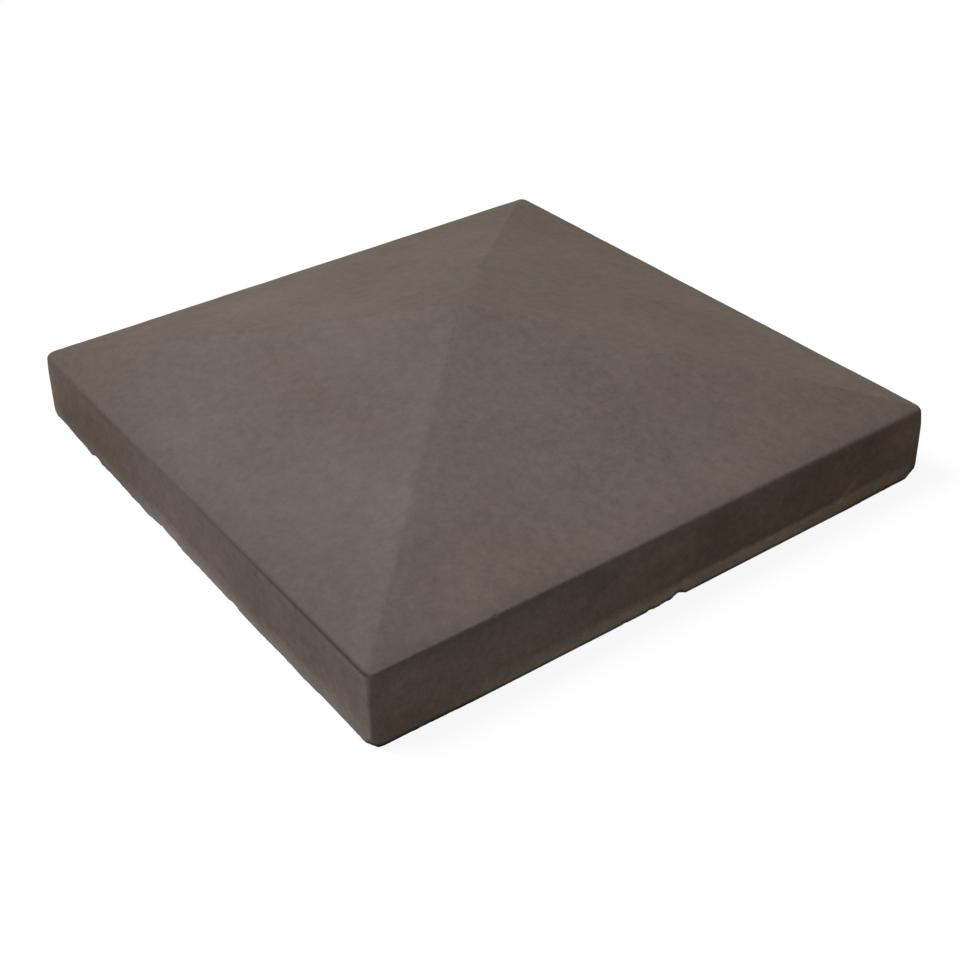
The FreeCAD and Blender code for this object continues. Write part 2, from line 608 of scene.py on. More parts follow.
# The tint of each face: warm from 0, the cool grey of the mix, to 1, and on to a brown stain at
# 2; olive takes red away, and below 0 adds it
faceTints = {
    "leftSlope": {"warm": 0.15, "olive": 0.0},
    "frontSlope": {"warm": 0.20, "olive": -0.35},
    "rightSlope": {"warm": 1.0, "olive": 0.1},
    "backSlope": {"warm": 0.6, "olive": 0.1},
    "leftSide": {"warm": 0.15, "olive": -0.6},
    "frontSide": {"warm": 0.75, "olive": 0.75},
    "rightSide": {"warm": 1.4, "olive": -0.3},
    "backSide": {"warm": 0.8, "olive": 0.0},
}

# Soft stains on each face, and painted shade in the chip at the right end of the front side: middle, reach,
# change of tone and, where there is one, of warmth
stainsAndShade = {
    "frontSlope": [
        {"at": (0.020, -0.028, 0.09), "reach": (0.045, 0.024, 1.0), "tone": -0.02},
        {"at": (-0.035, -0.110, 0.07), "reach": (0.080, 0.070, 1.0), "tone": 0.07, "warm": -0.1},
        {"at": (0.145, -0.175, 0.05), "reach": (0.080, 0.035, 1.0), "tone": -0.08, "warm": 0.5},
        {"at": (0.080, -0.125, 0.06), "reach": (0.090, 0.060, 1.0), "tone": -0.01, "warm": 0.3},
        {"at": (0.060, -0.150, 0.06), "reach": (0.040, 0.020, 1.0), "tone": -0.01, "warm": -0.2},
        {"at": (-0.100, -0.165, 0.05), "reach": (0.050, 0.030, 1.0), "tone": 0.0, "warm": 0.35},
        {"at": (-0.060, -0.188, 0.05), "reach": (0.130, 0.014, 1.0), "tone": 0.0, "warm": 0.3},
        {"at": (0.188, -0.170, 0.05), "reach": (0.030, 0.030, 1.0), "tone": -0.05},
        {"at": (-0.002, -0.1070, 0.07), "reach": (0.010, 0.0010, 1.0), "tone": -0.08},
        {"at": (0.024, -0.1065, 0.07), "reach": (0.014, 0.0010, 1.0), "tone": -0.10},
        {"at": (0.012, -0.0668, 0.08), "reach": (0.0012, 0.0012, 1.0), "tone": -0.16},
    ],
    "leftSlope": [
        {"at": (-0.182, 0.165, 0.05), "reach": (0.035, 0.050, 1.0), "tone": -0.14, "warm": 0.8},
        {"at": (-0.155, 0.095, 0.06), "reach": (0.040, 0.055, 1.0), "tone": 0.05, "warm": -0.1},
        {"at": (-0.185, -0.085, 0.05), "reach": (0.030, 0.045, 1.0), "tone": -0.07},
        {"at": (-0.130, -0.070, 0.07), "reach": (0.009, 0.060, 1.0), "tone": 0.03},
        {"at": (-0.103, -0.010, 0.07), "reach": (0.010, 0.070, 1.0), "tone": -0.035, "warm": 0.25},
        {"at": (-0.067, 0.010, 0.08), "reach": (0.004, 0.040, 1.0), "tone": 0.045},
        {"at": (-0.108, 0.045, 0.07), "reach": (0.020, 0.035, 1.0), "tone": -0.02, "warm": 0.2},
        {"at": (-0.134, -0.029, 0.07), "reach": (0.003, 0.003, 1.0), "tone": 0.06},
        {"at": (-0.018, -0.012, 0.10), "reach": (0.022, 0.022, 1.0), "tone": -0.04},
    ],
    "backSlope": [
        {"at": (-0.040, 0.150, 0.06), "reach": (0.090, 0.050, 1.0), "tone": 0.03},
        {"at": (0.110, 0.180, 0.05), "reach": (0.080, 0.035, 1.0), "tone": -0.08, "warm": 0.3},
        {"at": (0.015, 0.045, 0.09), "reach": (0.045, 0.045, 1.0), "tone": -0.05, "warm": -0.1},
        {"at": (-0.185, 0.190, 0.05), "reach": (0.050, 0.045, 1.0), "tone": -0.14, "warm": 0.2},
    ],
    "rightSlope": [
        {"at": (0.188, -0.040, 0.05), "reach": (0.025, 0.120, 1.0), "tone": 0.05},
        {"at": (0.125, 0.030, 0.07), "reach": (0.030, 0.070, 1.0), "tone": -0.04, "warm": -0.2},
        {"at": (0.070, 0.040, 0.08), "reach": (0.040, 0.045, 1.0), "tone": 0.02, "warm": -0.4},
        {"at": (0.180, 0.160, 0.05), "reach": (0.040, 0.050, 1.0), "tone": -0.09},
    ],
    "leftSide": [
        {"at": (-0.20, 0.128, 0.020), "reach": (1.0, 0.050, 0.035), "tone": -0.20, "warm": 0.9},
        {"at": (-0.20, 0.110, 0.047), "reach": (1.0, 0.090, 0.004), "tone": -0.14},
        {"at": (-0.20, 0.196, 0.022), "reach": (1.0, 0.010, 0.050), "tone": 0.20, "warm": 0.3},
        {"at": (-0.20, 0.037, 0.026), "reach": (1.0, 0.025, 0.030), "tone": 0.09},
        {"at": (-0.20, -0.074, 0.020), "reach": (1.0, 0.025, 0.030), "tone": -0.09},
        {"at": (-0.20, -0.196, 0.022), "reach": (1.0, 0.008, 0.050), "tone": 0.10, "warm": -0.2},
        {"at": (-0.20, -0.178, 0.015), "reach": (1.0, 0.018, 0.007), "tone": 0.16},
        {"at": (-0.20, -0.180, 0.046), "reach": (1.0, 0.030, 0.003), "tone": 0.15},
        {"at": (-0.20, 0.150, 0.030), "reach": (1.0, 0.020, 0.022), "tone": -0.06},
        {"at": (-0.20, -0.037, 0.021), "reach": (1.0, 0.020, 0.016), "tone": 0.09},
        {"at": (-0.20, -0.085, 0.010), "reach": (1.0, 0.025, 0.004), "tone": -0.09},
        {"at": (-0.20, 0.111, 0.007), "reach": (1.0, 0.015, 0.004), "tone": 0.10},
        {"at": (-0.20, 0.190, 0.046), "reach": (1.0, 0.012, 0.004), "tone": -0.12},
        {"at": (-0.20, 0.176, 0.012), "reach": (1.0, 0.015, 0.010), "tone": -0.17},
        {"at": (-0.20, 0.135, 0.041), "reach": (1.0, 0.020, 0.008), "tone": 0.09},
        {"at": (-0.20, 0.010, 0.026), "reach": (1.0, 0.011, 0.014), "tone": 0.08},
        {"at": (-0.20, -0.142, 0.032), "reach": (1.0, 0.016, 0.008), "tone": -0.07},
        {"at": (-0.20, -0.138, 0.004), "reach": (1.0, 0.012, 0.003), "tone": -0.11},
        {"at": (-0.20, 0.026, 0.008), "reach": (1.0, 0.014, 0.004), "tone": 0.09},
        {"at": (-0.20, -0.050, 0.009), "reach": (1.0, 0.010, 0.004), "tone": -0.10},
    ],
    "frontSide": [
        {"at": (-0.135, -0.20, 0.047), "reach": (0.060, 1.0, 0.004), "tone": -0.15, "warm": -0.2},
        {"at": (-0.147, -0.20, 0.041), "reach": (0.026, 1.0, 0.010), "tone": -0.09},
        {"at": (-0.195, -0.20, 0.018), "reach": (0.012, 1.0, 0.022), "tone": -0.12},
        {"at": (0.074, -0.20, 0.016), "reach": (0.012, 1.0, 0.008), "tone": 0.12},
        {"at": (-0.120, -0.20, 0.012), "reach": (0.080, 1.0, 0.020), "tone": 0.10, "warm": 0.2},
        {"at": (0.152, -0.20, 0.038), "reach": (0.016, 1.0, 0.014), "tone": -0.14},
        {"at": (0.040, -0.20, 0.044), "reach": (0.090, 1.0, 0.006), "tone": 0.0, "warm": -1.1},
        {"at": (0.060, -0.20, 0.047), "reach": (0.070, 1.0, 0.003), "tone": 0.10},
        {"at": (-0.055, -0.20, 0.037), "reach": (0.016, 1.0, 0.009), "tone": -0.17},
        {"at": (-0.015, -0.20, 0.025), "reach": (0.014, 1.0, 0.006), "tone": -0.14, "warm": 0.2},
        {"at": (0.000, -0.20, 0.036), "reach": (0.014, 1.0, 0.006), "tone": 0.09},
        {"at": (0.030, -0.20, 0.036), "reach": (0.015, 1.0, 0.010), "tone": -0.18, "warm": 0.3},
        {"at": (0.027, -0.20, 0.022), "reach": (0.012, 1.0, 0.005), "tone": -0.13},
        {"at": (0.074, -0.20, 0.037), "reach": (0.013, 1.0, 0.010), "tone": 0.09, "warm": -0.2},
        {"at": (0.108, -0.20, 0.039), "reach": (0.022, 1.0, 0.010), "tone": -0.12},
        {"at": (0.090, -0.20, 0.030), "reach": (0.025, 1.0, 0.005), "tone": -0.10},
        {"at": (0.000, -0.20, 0.016), "reach": (0.012, 1.0, 0.006), "tone": 0.09},
        {"at": (-0.070, -0.20, 0.012), "reach": (0.014, 1.0, 0.005), "tone": 0.10},
        {"at": (-0.037, -0.20, 0.007), "reach": (0.013, 1.0, 0.003), "tone": 0.14},
        {"at": (0.020, -0.20, 0.007), "reach": (0.018, 1.0, 0.004), "tone": -0.16},
        {"at": (0.111, -0.20, 0.010), "reach": (0.014, 1.0, 0.004), "tone": -0.10},
        {"at": (-0.180, -0.20, 0.012), "reach": (0.016, 1.0, 0.006), "tone": -0.16, "warm": 0.8},
        {"at": (-0.176, -0.20, 0.037), "reach": (0.013, 1.0, 0.008), "tone": 0.09},
        {"at": (-0.130, -0.20, 0.006), "reach": (0.006, 1.0, 0.004), "tone": 0.15},
        {"at": (0.186, -0.20, 0.021), "reach": (0.012, 1.0, 0.006), "tone": -0.11},
        {"at": (0.188, -0.20, 0.036), "reach": (0.012, 1.0, 0.018), "tone": 0.14},
        # painted shade in the knocked-off corner below the right end
        {"at": (0.197, -0.20, 0.006), "reach": (0.006, 1.0, 0.008), "tone": -0.45},
    ],
}


def mixColours(tree, factor, first, second, blend="MIX"):
    node = place(tree, "ShaderNodeMix", data_type="RGBA", blend_type=blend, clamp_factor=False)
    feed(tree, node.inputs[0], factor)
    feed(tree, node.inputs[6], first)
    feed(tree, node.inputs[7], second)
    return Field(tree, node.outputs[2])


def grey(tree, value):
    return Field(tree, place(tree, "ShaderNodeCombineColor", {0: value, 1: value, 2: value}).outputs[0])


def makeMixTree():
    tree, given, end = newTree(
        "concreteMix",
        "ShaderNodeTree",
        [
            ("Vector", "Vector"),
            ("Warm", "Color"),
            ("Cool", "Color"),
            ("Warmth", "Float"),
            ("Cloud", "Float"),
            ("Grain", "Float"),
            ("Creases", "Float"),
            ("Pores", "Float"),
        ],
        [("Color", "Color"), ("Height", "Float")],
    )
    at = given["Vector"]
    cloud = noise(tree, at, mixScales["cloud"], detail=4.0, roughness=0.62, seed=1.0, distortion=0.4) - 0.5
    grain = noise(tree, at, mixScales["grain"], detail=3.5, roughness=0.9, seed=2.0) - 0.5
    hue = noise(tree, at, mixScales["hue"], detail=3.0, roughness=0.6, seed=5.0) - 0.5

    # broken dark lines between the grains
    lines = (noise(tree, at, mixScales["lines"], detail=1.0, seed=6.0) - 0.5).of("ABSOLUTE")
    gaps = noise(tree, at, mixScales["gaps"], detail=2.0, seed=7.0).along(*mixForm["gaps"])
    crease = (1.0 - lines.along(0.0, mixForm["lineWidth"])) * gaps

    # scattered pores, each with its own depth
    cells = place(
        tree, "ShaderNodeTexVoronoi", {"Vector": at, "Scale": mixScales["pores"], "Randomness": 1.0}
    )
    depth = split(tree, cells.outputs["Color"])[0].along(*mixForm["poreDepth"])
    pore = depth * (1.0 - Field(tree, cells.outputs["Distance"]).along(*mixForm["poreWidth"]))

    shade = 1.0 + cloud * given["Cloud"] + grain * given["Grain"]
    shade = shade - crease * given["Creases"] - pore * given["Pores"]
    swing = given["Warmth"] + hue * mixForm["hueSwing"]
    tint = mixColours(tree, swing, given["Cool"], given["Warm"])
    feed(tree, end.inputs["Color"], mixColours(tree, 1.0, tint, grey(tree, shade), "MULTIPLY"))
    relief = grain - pore * mixForm["poreRelief"] - crease * mixForm["lineRelief"]
    feed(tree, end.inputs["Height"], relief)
    return tree


def makePatchTree():
    tree, given, end = newTree(
        "softPatch",
        "ShaderNodeTree",
        [("Vector", "Vector"), ("Centre", "Vector"), ("Reach", "Vector")],
        [("Mask", "Float")],
    )
    offset = vectorCalc(tree, "SUBTRACT", given["Vector"], given["Centre"])
    share = vectorCalc(tree, "DIVIDE", offset, given["Reach"])
    feed(tree, end.inputs["Mask"], bell(lengthOf(tree, share)))
    return tree


surfaceValues = {"Roughness": 0.95, "Specular IOR Level": 0.05}   # matt all over


def startMaterial(name):
    material = bpy.data.materials.new(name)
    material.use_nodes = True
    tree = material.node_tree
    shader = tree.nodes["Principled BSDF"]
    for label, value in surfaceValues.items():
        shader.inputs[label].default_value = value
    places = Field(tree, place(tree, "ShaderNodeTexCoord").outputs["Object"])
    return material, tree, shader, places


def attribute(tree, name):
    return Field(tree, place(tree, "ShaderNodeAttribute", attribute_name=name).outputs["Fac"])


faceLimits = {"out": (0.1950, 0.1975), "up": (0.0462, 0.0485)}   # where sides begin and end
faceBlends = {"crisp": 0.0006, "soft": 0.006}                     # how far faces run together at a hip


def faceMasks(tree, places, blend):
    x, y, z = split(tree, places)
    sideways = attribute(tree, "hipGap").along(-blend, blend)   # 0 on front and back
    outward = outwardOf(x, y)
    upright = outward.along(*faceLimits["out"]) * (1.0 - z.along(*faceLimits["up"]))
    quarters = {
        "left": sideways * x.of("LESS_THAN", 0.0),
        "right": sideways * x.of("GREATER_THAN", 0.0),
        "front": (1.0 - sideways) * y.of("LESS_THAN", 0.0),
        "back": (1.0 - sideways) * y.of("GREATER_THAN", 0.0),
    }
    masks = {}
    for name, quarter in quarters.items():
        masks[name] = quarter
        masks[name + "Slope"] = quarter * (1.0 - upright)
        masks[name + "Side"] = quarter * upright
    masks["upright"] = upright
    return masks


def stainAndShadeFields(tree, patchTree, places, masks, softMasks):
    tone = 1.0
    warmth = olive = 0.0
    for face, tint in faceTints.items():
        share = masks[face] if face.endswith("Side") else softMasks[face]
        warmth = warmth + share * tint["warm"]
        olive = olive + share * tint["olive"]
        for stain in stainsAndShade.get(face, []):
            inputs = {"Vector": places, "Centre": stain["at"], "Reach": stain["reach"]}
            soft = addGroup(tree, "ShaderNodeGroup", patchTree, inputs)
            mask = Field(tree, soft.outputs["Mask"]) * masks[face]
            tone = tone + mask * stain["tone"]
            if "warm" in stain:
                warmth = warmth + mask * stain["warm"]
    return tone, warmth, olive


# The slopes are paler or darker beside the hips: which hip, which slope, how far from the hip,
# how wide, how far out from the tip the mark reaches, and its tone
hipMarks = [
    {"hip": (-1, -1), "face": "leftSlope", "gap": 0.006, "reach": 0.010, "end": 0.3, "tone": 0.035},
    {"hip": (-1, -1), "face": "leftSlope", "gap": 0.000, "reach": 0.0025, "end": 0.3, "tone": -0.07},
    {"hip": (-1, -1), "face": "frontSlope", "gap": -0.003, "reach": 0.008, "end": 0.15, "tone": 0.05},
    {"hip": (-1, 1), "face": "leftSlope", "gap": 0.007, "reach": 0.008, "end": 0.3, "tone": 0.05},
    {"hip": (-1, 1), "face": "leftSlope", "gap": 0.000, "reach": 0.003, "end": 0.3, "tone": -0.04},
    {"hip": (-1, 1), "face": "backSlope", "gap": 0.000, "reach": 0.003, "end": 0.3, "tone": -0.03},
    {"hip": (1, 1), "face": "rightSlope", "gap": 0.004, "reach": 0.012, "end": 0.3, "tone": 0.03},
    {"hip": (1, 1), "face": "backSlope", "gap": -0.004, "reach": 0.012, "end": 0.3, "tone": -0.03},
    {"hip": (1, -1), "face": "rightSlope", "gap": 0.000, "reach": 0.003, "end": 0.3, "tone": 0.03},
    {"hip": (1, -1), "face": "frontSlope", "gap": 0.000, "reach": 0.002, "end": 0.3, "tone": 0.03},
]
hipFade = 0.05   # length over which a mark fades out


def hipTone(tree, places, masks):
    x, y, z = split(tree, places)
    outward = outwardOf(x, y)
    hipGap = attribute(tree, "hipGap")
    total = 1.0
    for mark in hipMarks:
        signX, signY = mark["hip"]
        quarter = (x * signX).of("GREATER_THAN", 0.0) * (y * signY).of("GREATER_THAN", 0.0)
        fade = 1.0 - outward.along(mark["end"] - hipFade, mark["end"])
        beside = bell((hipGap - mark["gap"]) / mark["reach"]) * masks[mark["face"]]
        total = total + beside * quarter * fade * mark["tone"]
    return total


# Marks on the upright sides: the pale foot, the dark line along the rim, the painted shade along the bed
# and below the rim, the scratch. Most pairs are places along a side, x on the front and y on the left,
# between which a mark comes or goes.
sideMarksAndShade = {
    "footTop": 0.0095,       # height of the pale foot
    "footClimb": 0.0035,     # how much higher it ends at the right of the front side
    "footLift": 0.0020,      # how much higher it is on the near half of the left side
    "footGain": 0.95,
    "footCooling": 0.5,      # how much greyer it is than the side above
    "bedShade": -0.72,       # painted shade, the dark line along the bed arris of the front side
    "rimShade": -0.53,       # the dark line along the left rim
    "upperShade": -0.06,     # painted shade on the sides below the rim, but for the left one
    "lowerShade": -0.10,     # the slopes just above the front and left rims
    "scratchGain": 0.40,
}
footForm = {
    "crisp": (-0.020, 0.012),        # the sharp line starts here on the front side
    "leftNear": (0.04, 0.09),        # the near half of the left side
    "climbing": (0.07, 0.18),
    "crispLift": 0.0012,
    "softBlur": 0.0065,
    "crispBlur": 0.0018,
    "endBlur": 0.0006,
    "endBlurring": (0.12, 0.19),
    "ragged": 0.006,
    "front": 1.45,                   # strength on the front side, where it starts and where it drops
    "frontStart": (-0.19, -0.07),
    "frontDip": 0.10,
    "frontDipping": (0.0, 0.03),
    "frontLoss": 0.85,
    "frontLosing": (0.09, 0.19),
    "left": 0.40,                    # strength on the left side, more on its near half but for the end
    "leftNearGain": 0.35,
    "leftLosing": (-0.195, -0.165),
    "unseen": 0.5,                   # strength on the right and back sides
}


def footMask(tree, places, masks, ragged):
    # a sharp line on the right of the front side, soft elsewhere
    x, y, z = split(tree, places)
    crisp = masks["front"] * x.along(*footForm["crisp"])
    nearLeft = masks["left"] * (1.0 - y.along(*footForm["leftNear"]))
    climb = x.along(*footForm["climbing"]).mixed(footForm["crispLift"], sideMarksAndShade["footClimb"])
    footTop = sideMarksAndShade["footTop"] + crisp * climb
    footTop = footTop + nearLeft * sideMarksAndShade["footLift"]
    blur = crisp.mixed(footForm["softBlur"], footForm["crispBlur"])
    blur = blur + crisp * x.along(*footForm["endBlurring"]) * footForm["endBlur"]
    above = z - footTop + ragged * footForm["ragged"] + blur * 0.5
    foot = masks["upright"] * (1.0 - above.along(blur * -1.0, blur))
    onFront = footForm["front"] * x.along(*footForm["frontStart"])
    onFront = onFront - footForm["frontDip"] * x.along(*footForm["frontDipping"])
    onFront = onFront - footForm["frontLoss"] * x.along(*footForm["frontLosing"])
    onLeft = footForm["left"] + nearLeft * footForm["leftNearGain"]
    onLeft = onLeft - footForm["left"] * (1.0 - y.along(*footForm["leftLosing"]))
    strength = masks["front"] * onFront + masks["left"] * onLeft
    strength = strength + (masks["right"] + masks["back"]) * footForm["unseen"]
    return foot * strength


lineForm = {
    "rimAt": (0.1989, 0.0484),       # where the line along the left rim runs, out and up
    "rimWidth": 0.0014,
    "rimLeast": 0.15,                # its strength at the far end
    "rimFading": (-0.19, 0.08),
    "nearEnd": (-0.18, -0.13),       # the bed line is thicker and darker near the corner
    "nearThick": 0.0008,
    "nearGain": 0.25,
    "rightThick": 0.0003,            # and a little thicker and paler on the right
    "rightThickening": (0.0, 0.02),
    "rightLoss": 0.5,
    "rightLosing": (0.0, 0.12),
    "bedHeight": (0.0009, 0.0024),
    "chipHeight": (0.010, 0.015),    # below this it also follows the chips
    "leftEnd": (-0.197, -0.190),     # it turns the corner onto the left side
    "face": (0.1958, 0.1975),        # not inside the chips
    "underRimShade": (0.034, 0.046),
    "overRimAt": 0.199,
    "overRimReach": 0.012,
}


def lineTone(tree, places, masks):
    x, y, z = split(tree, places)
    outward = outwardOf(x, y)
    rimOut, rimUp = lineForm["rimAt"]
    rimGap = lengthOf(tree, joined(tree, outward - rimOut, z - rimUp, 0.0))
    alongRim = (1.0 - y.along(*lineForm["rimFading"])).mixed(lineForm["rimLeast"], 1.0)
    rimLine = bell(rimGap / lineForm["rimWidth"]) * masks["left"] * alongRim
    nearEnd = 1.0 - x.along(*lineForm["nearEnd"])
    thick = nearEnd * lineForm["nearThick"]
    thick = thick + x.along(*lineForm["rightThickening"]) * lineForm["rightThick"]
    strength = 1.0 + nearEnd * lineForm["nearGain"]
    strength = strength - lineForm["rightLoss"] * x.along(*lineForm["rightLosing"])
    # painted shade along the bed arris and round the chips, where the surface turns down from the light
    bedShadow = (1.0 - (z - thick).along(*lineForm["bedHeight"])) * strength
    chipShadow = attribute(tree, "broken") * (1.0 - z.along(*lineForm["chipHeight"]))
    bedShadow = bedShadow.of("MAXIMUM", chipShadow)
    bedShadow = bedShadow * (masks["front"] + masks["left"] * (1.0 - y.along(*lineForm["leftEnd"])))
    bedShadow = bedShadow * outward.along(*lineForm["face"])
    # painted shade: the upright sides darker just below the rim
    underRimShade = masks["upright"] * (1.0 - masks["left"]) * z.along(*lineForm["underRimShade"]).eased()
    overRim = bell((outward - lineForm["overRimAt"]) / lineForm["overRimReach"])
    overRim = (masks["leftSlope"] + masks["frontSlope"]) * overRim
    lines = (1.0 + rimLine * sideMarksAndShade["rimShade"]) * (1.0 + bedShadow * sideMarksAndShade["bedShade"])
    return lines * (1.0 + underRimShade * sideMarksAndShade["upperShade"]) * (1.0 + overRim * sideMarksAndShade["lowerShade"])


scratchForm = {
    "start": (0.131, 0.010),         # along and up
    "slope": 0.9355,
    "bend": 11.2,
    "width": (0.0004, 0.0034),
    "coming": (0.126, 0.133),
    "going": (0.140, 0.157),
    "specks": ((0.132, 0.046), (0.064, 0.025)),
    "speckSize": 0.0007,
    "speckGain": 1.4,
}


def scratchTone(tree, places, masks):
    # it springs from the foot of the front side and bends over to the right
    x, y, z = split(tree, places)
    startX, startZ = scratchForm["start"]
    run = x - startX
    gap = (z - startZ - run * scratchForm["slope"] + run * run * scratchForm["bend"]).of("ABSOLUTE")
    fade = x.along(*scratchForm["coming"]) * (1.0 - x.along(*scratchForm["going"]))
    scratch = (1.0 - gap.along(*scratchForm["width"])) * fade
    for speckX, speckZ in scratchForm["specks"]:
        away = lengthOf(tree, joined(tree, x - speckX, z - speckZ, 0.0))
        scratch = scratch + bell(away / scratchForm["speckSize"]) * scratchForm["speckGain"]
    return 1.0 + scratch * masks["frontSide"] * sideMarksAndShade["scratchGain"]


# Slow changes of tone, warmth and olive over the faces, and of the grain, with painted shade on the right
# side and painted floor light low on the left side
driftForm = {
    "tipAt": 0.004,
    "tipReach": 0.018,
    "tipTone": 0.05,
    "tipRed": 0.5,                   # the left slope is redder below the tip
    "tipRedReach": 0.06,
    "frontTone": 0.14,               # the front side is paler at the near corner, darker on the right
    "frontFall": 0.38,
    "frontFalling": (-0.20, 0.08),
    "frontWarm": ((0.65, -0.09, 0.0), (0.40, 0.0, 0.12)),
    "frontRed": 1.45,
    "frontReddening": (-0.10, 0.14),
    "rightTone": 0.22,
    "footWarm": 1.6,                 # the foot of the front side is brown at the near corner
    "footWarmLoss": ((1.3, -0.15, -0.075), (0.65, -0.05, 0.06)),
    "footOlive": 0.8,
    "footOliveFrom": (0.02, 0.08),
    "leftOlive": (0.004, 0.009),     # painted floor light: the left side is olive below these heights
    "oliveShare": 0.05,              # how much red an olive of 1 takes away
    "raggedScale": 110.0,
    "grainSlope": 0.85,              # grain off the front, and on the upright sides
    "grainSide": 1.4,
    "chipRelief": 2.0,
}
fairBump = {"Strength": 0.35, "Distance": 0.0004}
struckBump = {"Strength": 0.6, "Distance": 0.0010}
struckValues = {"Warmth": 0.6, "Pores": 0.4}


def makeFairFace(mixTree, patchTree):
    material, tree, shader, places = startMaterial("fairFaceConcrete")
    x, y, z = split(tree, places)
    masks = faceMasks(tree, places, faceBlends["crisp"])
    softMasks = faceMasks(tree, places, faceBlends["soft"])   # for the tints of the slopes
    tone, warmth, olive = stainAndShadeFields(tree, patchTree, places, masks, softMasks)
    front = masks["frontSide"]

    # a little darker at the tip, and redder on the left slope below it
    fromTip = lengthOf(tree, joined(tree, x - driftForm["tipAt"], y, 0.0))
    tone = tone - bell(fromTip / driftForm["tipReach"]) * driftForm["tipTone"]
    olive = olive - masks["leftSlope"] * bell(x / driftForm["tipRedReach"]) * driftForm["tipRed"]

    # the front side darkens and browns from the near corner to the right, olive at first
    fall = driftForm["frontFall"] * x.along(*driftForm["frontFalling"])
    tone = tone * (1.0 + front * (driftForm["frontTone"] - fall))
    for gain, start, end in driftForm["frontWarm"]:
        warmth = warmth + front * (gain * x.along(start, end))
    olive = olive - front * driftForm["frontRed"] * x.along(*driftForm["frontReddening"])
    # painted shade: the right side, turned away from the lamp, is darker
    tone = tone * (1.0 - masks["rightSide"] * driftForm["rightTone"])

    ragged = noise(tree, places, driftForm["raggedScale"], detail=3.0, roughness=0.65, seed=8.0) - 0.5
    foot = footMask(tree, places, masks, ragged)
    tone = tone * (1.0 + foot * sideMarksAndShade["footGain"])
    tone = tone * lineTone(tree, places, masks) * scratchTone(tree, places, masks)
    tone = tone * hipTone(tree, places, masks)
    browner = driftForm["footWarm"]
    for loss, start, end in driftForm["footWarmLoss"]:
        browner = browner - loss * x.along(start, end)
    warmth = warmth + foot * (masks["front"] * browner - masks["left"] * sideMarksAndShade["footCooling"])
    olive = olive + foot * masks["front"] * x.along(*driftForm["footOliveFrom"]) * driftForm["footOlive"]
    # painted floor light, an olive tint low on the left side
    olive = olive + masks["left"] * masks["upright"] * (1.0 - z.along(*driftForm["leftOlive"]))

    # the grain shows a little more on the front and on the upright sides
    grain = concreteValues["Grain"] * masks["front"].mixed(driftForm["grainSlope"], 1.0)
    grain = grain * masks["upright"].mixed(1.0, driftForm["grainSide"])
    values = {**concreteValues, "Warmth": warmth, "Grain": grain}
    mix = addGroup(tree, "ShaderNodeGroup", mixTree, {"Vector": places, **values})
    red = tone * (1.0 - olive * driftForm["oliveShare"])
    tint = place(tree, "ShaderNodeCombineColor", {0: red, 1: tone, 2: tone})
    toned = mixColours(tree, 1.0, mix.outputs["Color"], tint.outputs[0], "MULTIPLY")
    feed(tree, shader.inputs["Base Color"], toned)
    chipped = attribute(tree, "broken") * ragged * driftForm["chipRelief"]
    height = Field(tree, mix.outputs["Height"]) + chipped
    bump = place(tree, "ShaderNodeBump", {"Height": height, **fairBump})
    feed(tree, shader.inputs["Normal"], bump.outputs[0])
    return material


def makeStruckFace(mixTree):
    material, tree, shader, places = startMaterial("struckConcrete")
    values = {"Vector": places, **concreteValues, **struckValues}
    mix = addGroup(tree, "ShaderNodeGroup", mixTree, values)
    feed(tree, shader.inputs["Base Color"], mix.outputs["Color"])
    bump = place(tree, "ShaderNodeBump", {"Height": mix.outputs["Height"], **struckBump})
    feed(tree, shader.inputs["Normal"], bump.outputs[0])
    return material


# Stage: a pale floor that shows white, one soft lamp from the left, dim surroundings

stageValues = {
    "floorSize": 1.6,
    "floorColour": (0.42, 0.385, 0.335, 1.0),
    "shownWhite": 0.9,        # the floor's own white, as the camera sees it
    "shadowShare": 0.13,      # how much of the light on the floor the camera sees
    "surroundings": 0.31,
    "lampWay": (-0.42, 0.34, 0.78),
    "lampDistance": 8.0,
    "lampSize": 3.7,
    "lampPower": 550.0,
}


def seenRays(tree):
    paths = place(tree, "ShaderNodeLightPath")
    camera = Field(tree, paths.outputs["Is Camera Ray"])
    return camera.of("MAXIMUM", paths.outputs["Is Glossy Ray"]).of(
        "MAXIMUM", paths.outputs["Is Transmission Ray"]
    )


def makeFloor():
    half = stageValues["floorSize"] / 2
    mesh = bpy.data.meshes.new("floor")
    floorCorners = [(-half, -half, 0.0), (half, -half, 0.0), (half, half, 0.0), (-half, half, 0.0)]
    mesh.from_pydata(floorCorners, [], [(0, 1, 2, 3)])
    floor = bpy.data.objects.new("floor", mesh)
    bpy.context.scene.collection.objects.link(floor)
    material = bpy.data.materials.new("paleFloor")
    material.use_nodes = True
    tree = material.node_tree
    tree.nodes.remove(tree.nodes["Principled BSDF"])
    shown = stageValues["shadowShare"]
    lit = place(tree, "ShaderNodeBsdfDiffuse", {"Color": stageValues["floorColour"]})
    seen = place(tree, "ShaderNodeBsdfDiffuse", {"Color": (shown, shown, shown, 1.0)})
    white = place(tree, "ShaderNodeEmission", {"Strength": stageValues["shownWhite"]})
    both = place(tree, "ShaderNodeAddShader", {0: seen.outputs[0], 1: white.outputs[0]})
    choice = place(tree, "ShaderNodeMixShader", {0: seenRays(tree), 1: lit.outputs[0], 2: both.outputs[0]})
    feed(tree, tree.nodes["Material Output"].inputs["Surface"], choice.outputs[0])
    mesh.materials.append(material)


def makeSurroundings():
    world = bpy.data.worlds.new("surroundings")
    world.use_nodes = True
    bpy.context.scene.world = world
    tree = world.node_tree
    background = tree.nodes["Background"]
    background.inputs["Color"].default_value = (1.0, 1.0, 1.0, 1.0)
    feed(tree, background.inputs["Strength"], seenRays(tree).mixed(stageValues["surroundings"], 1.0))


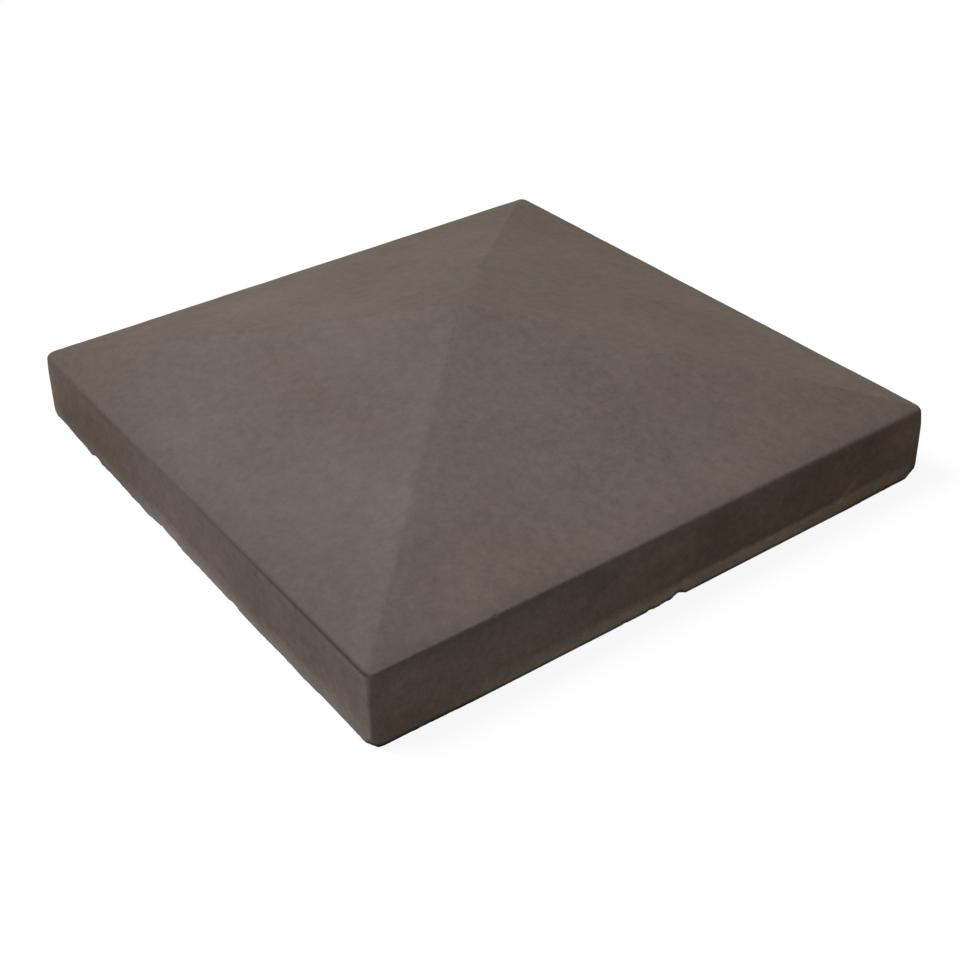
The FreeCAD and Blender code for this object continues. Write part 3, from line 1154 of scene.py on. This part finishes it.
def makeLamp():
    data = bpy.data.lights.new("softLamp", "AREA")
    data.shape = "DISK"
    data.size = stageValues["lampSize"]
    data.energy = stageValues["lampPower"]
    lamp = bpy.data.objects.new("softLamp", data)
    bpy.context.scene.collection.objects.link(lamp)
    way = Vector(stageValues["lampWay"]).normalized()
    lamp.location = way * stageValues["lampDistance"]
    lamp.rotation_mode = "QUATERNION"
    lamp.rotation_quaternion = way.to_track_quat("Z", "Y")


# Camera: fitted to the outline, rims and hips of the cap

cameraValues = {
    "lens": 56.12,
    "azimuth": -34.994,
    "elevation": 34.403,
    "roll": 1.606,
    "distance": 0.93650,
    "aim": (-0.01767, -0.03838, 0.0),
    "sensor": 36.0,
    "clipStart": 0.01,
}


def makeCamera():
    azimuth = math.radians(cameraValues["azimuth"])
    elevation = math.radians(cameraValues["elevation"])
    roll = math.radians(cameraValues["roll"])
    right = Vector((math.cos(azimuth), math.sin(azimuth), 0.0))
    back = Vector(
        (
            math.sin(azimuth) * math.cos(elevation),
            -math.cos(azimuth) * math.cos(elevation),
            math.sin(elevation),
        )
    )
    up = back.cross(right)
    turnedRight = right * math.cos(roll) - up * math.sin(roll)
    turnedUp = right * math.sin(roll) + up * math.cos(roll)
    data = bpy.data.cameras.new("camera")
    data.lens = cameraValues["lens"]
    data.sensor_width = cameraValues["sensor"]
    data.clip_start = cameraValues["clipStart"]
    camera = bpy.data.objects.new("camera", data)
    bpy.context.scene.collection.objects.link(camera)
    spot = Vector(cameraValues["aim"]) + back * cameraValues["distance"]
    axes = Matrix((turnedRight, turnedUp, back)).transposed().to_4x4()
    camera.matrix_world = Matrix.Translation(spot) @ axes
    bpy.context.scene.camera = camera


bpy.context.scene.view_settings.view_transform = "Standard"
mixTree = makeMixTree()
fairFace = makeFairFace(mixTree, makePatchTree())
struckFace = makeStruckFace(mixTree)
print("concrete mixed")
cap = makeCap(fairFace, struckFace)
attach(cap, "root")
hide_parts("pier_cap")
makeFloor()
makeSurroundings()
makeLamp()
makeCamera()
print("stage, lamp and camera set")
